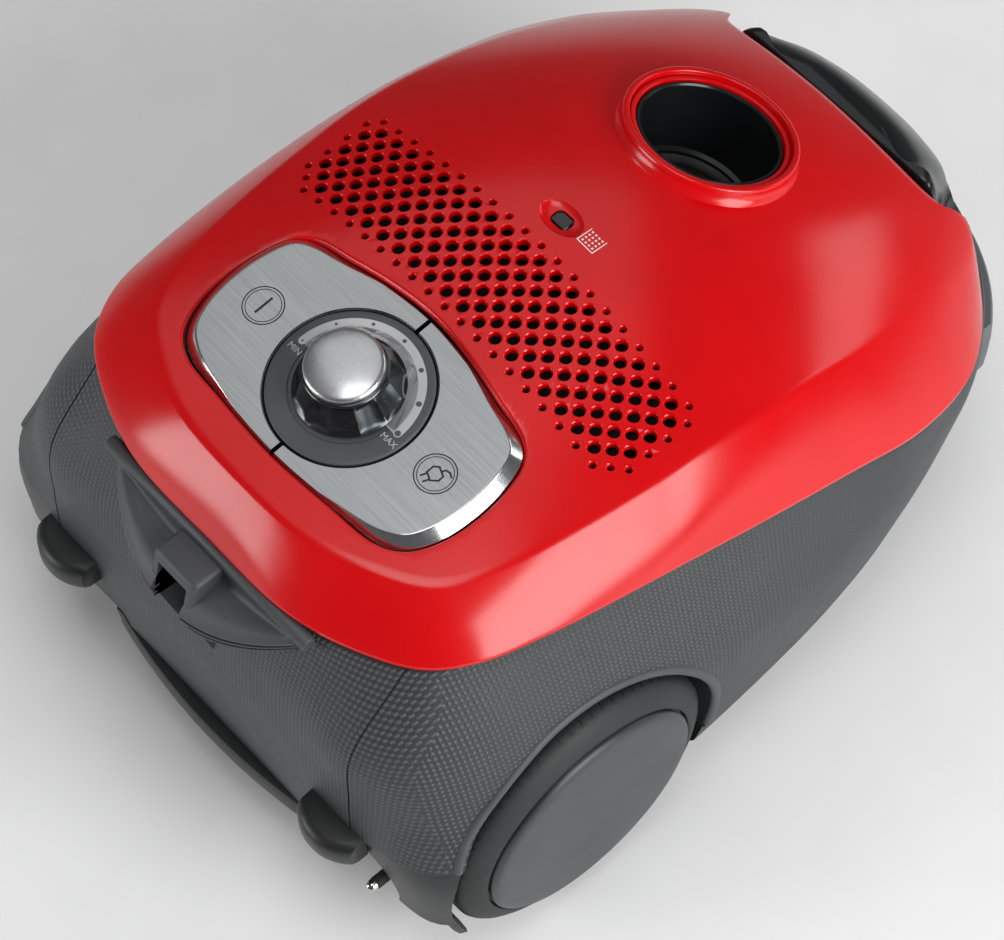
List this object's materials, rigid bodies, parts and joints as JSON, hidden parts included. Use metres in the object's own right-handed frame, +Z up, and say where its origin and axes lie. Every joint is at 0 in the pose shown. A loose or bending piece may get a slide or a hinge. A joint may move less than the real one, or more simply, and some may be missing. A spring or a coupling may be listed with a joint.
{
  "type": "canister vacuum cleaner",
  "caption": "Canister vacuum cleaner with a hinged red cover, hose inlet, power dial and foot keys, over a grey body on side wheels and a front caster.",
  "frame": {"origin": "on the floor under the middle of the bounding box", "axes": "+Y points to the front, the end with the hose inlet and caster; +Z is up; +X is the right side seen from behind"},
  "size_m": [0.271, 0.372, 0.2206],
  "materials": {
    "red_cover": "glossy red moulded plastic",
    "grey_body": "dark grey moulded plastic with a fine grain",
    "dark_plastic": "darker grey moulded plastic",
    "black_plastic": "satin black moulded plastic",
    "gloss_black": "glossy black moulded plastic",
    "rubber": "soft matt black rubber",
    "tyre": "soft ribbed tread",
    "aluminium": "brushed and clear coated",
    "steel": "plain bright steel",
    "chrome": "dark chrome plating",
    "copper": null,
    "paper": "plain filter paper and card",
    "fleece": "white filter fleece",
    "board": "circuit board laminate",
    "window": "smoked clear window"
  },
  "bodies": {
    "base": {"base_shell": "grey_body", "rear_skirt_right": "dark_plastic", "rear_skirt_left": "dark_plastic", "chassis_pan": "black_plastic", "front_bumper": "grey_body", "rear_grip": "dark_plastic", "parking_foot_right": "rubber", "parking_foot_left": "rubber", "wheel_axle_right": "steel", "wheel_axle_left": "steel", "chamber_divider": "black_plastic", "motor_filter": "fleece", "bag_collar": "paper", "bag_holder": "dark_plastic", "dust_bag": "paper", "motor_housing": "steel", "motor_stator": "copper", "motor_mount_front": "rubber", "motor_mount_rear": "rubber", "reel_axle": "steel", "reel_spring_case": "steel", "cord_outlet": "black_plastic", "plug_body": "black_plastic", "plug_pin_left": "steel", "plug_pin_right": "steel", "cord_lead": "rubber", "hinge_pin_right": "steel", "hinge_pin_left": "steel", "latch_catch": "black_plastic"},
    "wheel_right": {"wheel_hub_right": "black_plastic", "wheel_tyre_right": "tyre", "wheel_cover_right": "dark_plastic"},
    "wheel_left": {"wheel_hub_left": "black_plastic", "wheel_tyre_left": "tyre", "wheel_cover_left": "dark_plastic"},
    "caster_swivel": {"caster_fork": "black_plastic", "caster_axle": "steel", "caster_clip": "steel"},
    "caster_roller": {"caster_wheel": "rubber"},
    "motor_spindle": {"motor_rotor": "steel", "fan_impeller": "aluminium"},
    "reel": {"cord_reel": "black_plastic", "cord_winding": "rubber"},
    "lid": {"lid_shell": "red_cover", "inlet_tube": "black_plastic", "inlet_seal": "rubber", "indicator_window": "window", "panel_tray": "black_plastic", "dial_plate": "dark_plastic", "key_power_spring": "steel", "key_rewind_spring": "steel", "power_switch": "black_plastic", "control_board": "board", "exhaust_filter": "fleece"},
    "power_key": {"key_power": "aluminium"},
    "rewind_key": {"key_rewind": "aluminium"},
    "knob": {"knob_skirt": "chrome", "knob_cap": "aluminium", "knob_shaft": "steel"},
    "latch": {"latch_handle": "gloss_black"}
  },
  "joints": [
    {"name": "wheel_right_spin", "type": "hinge", "parent": "base", "child": "wheel_right", "pos_m": [0.12, -0.0956, 0.061], "axis": [1, 0, 0], "continuous": true},
    {"name": "wheel_left_spin", "type": "hinge", "parent": "base", "child": "wheel_left", "pos_m": [-0.12, -0.0956, 0.061], "axis": [1, 0, 0], "continuous": true},
    {"name": "caster_swivel_turn", "type": "hinge", "parent": "base", "child": "caster_swivel", "pos_m": [0, 0.118, 0.03], "axis": [0, 0, 1], "continuous": true},
    {"name": "caster_roll", "type": "hinge", "parent": "caster_swivel", "child": "caster_roller", "pos_m": [0, 0.106, 0.013], "axis": [1, 0, 0], "continuous": true},
    {"name": "motor_spin", "type": "hinge", "parent": "base", "child": "motor_spindle", "pos_m": [-0.042, -0.08, 0.1], "axis": [0, 1, 0], "continuous": true},
    {"name": "reel_spin", "type": "hinge", "parent": "base", "child": "reel", "pos_m": [0.056, -0.077, 0.104], "axis": [1, 0, 0], "continuous": true},
    {"name": "lid_open", "type": "hinge", "parent": "base", "child": "lid", "pos_m": [0, -0.1626, 0.1689], "axis": [1, 0, 0], "range_deg": [0, 65]},
    {"name": "power_press", "type": "slide", "parent": "lid", "child": "power_key", "axis": [0, 0.1172, -0.9931], "range_m": [0, 0.0022], "stiffness_N_per_m": 1500, "springref_m": -0.0015, "deforming": ["key_power_spring"]},
    {"name": "rewind_press", "type": "slide", "parent": "lid", "child": "rewind_key", "axis": [0, 0.1172, -0.9931], "range_m": [0, 0.0022], "stiffness_N_per_m": 1500, "springref_m": -0.0015, "deforming": ["key_rewind_spring"]},
    {"name": "knob_turn", "type": "hinge", "parent": "lid", "child": "knob", "pos_m": [0, -0.0947, 0.2007], "axis": [0, -0.1172, 0.9931], "range_deg": [-180, 0]},
    {"name": "latch_lift", "type": "hinge", "parent": "lid", "child": "latch", "pos_m": [0, 0.153, 0.141], "axis": [1, 0, 0], "range_deg": [0, 18], "stiffness_Nm_per_rad": 0.8, "springref_deg": -11.46}
  ]
}
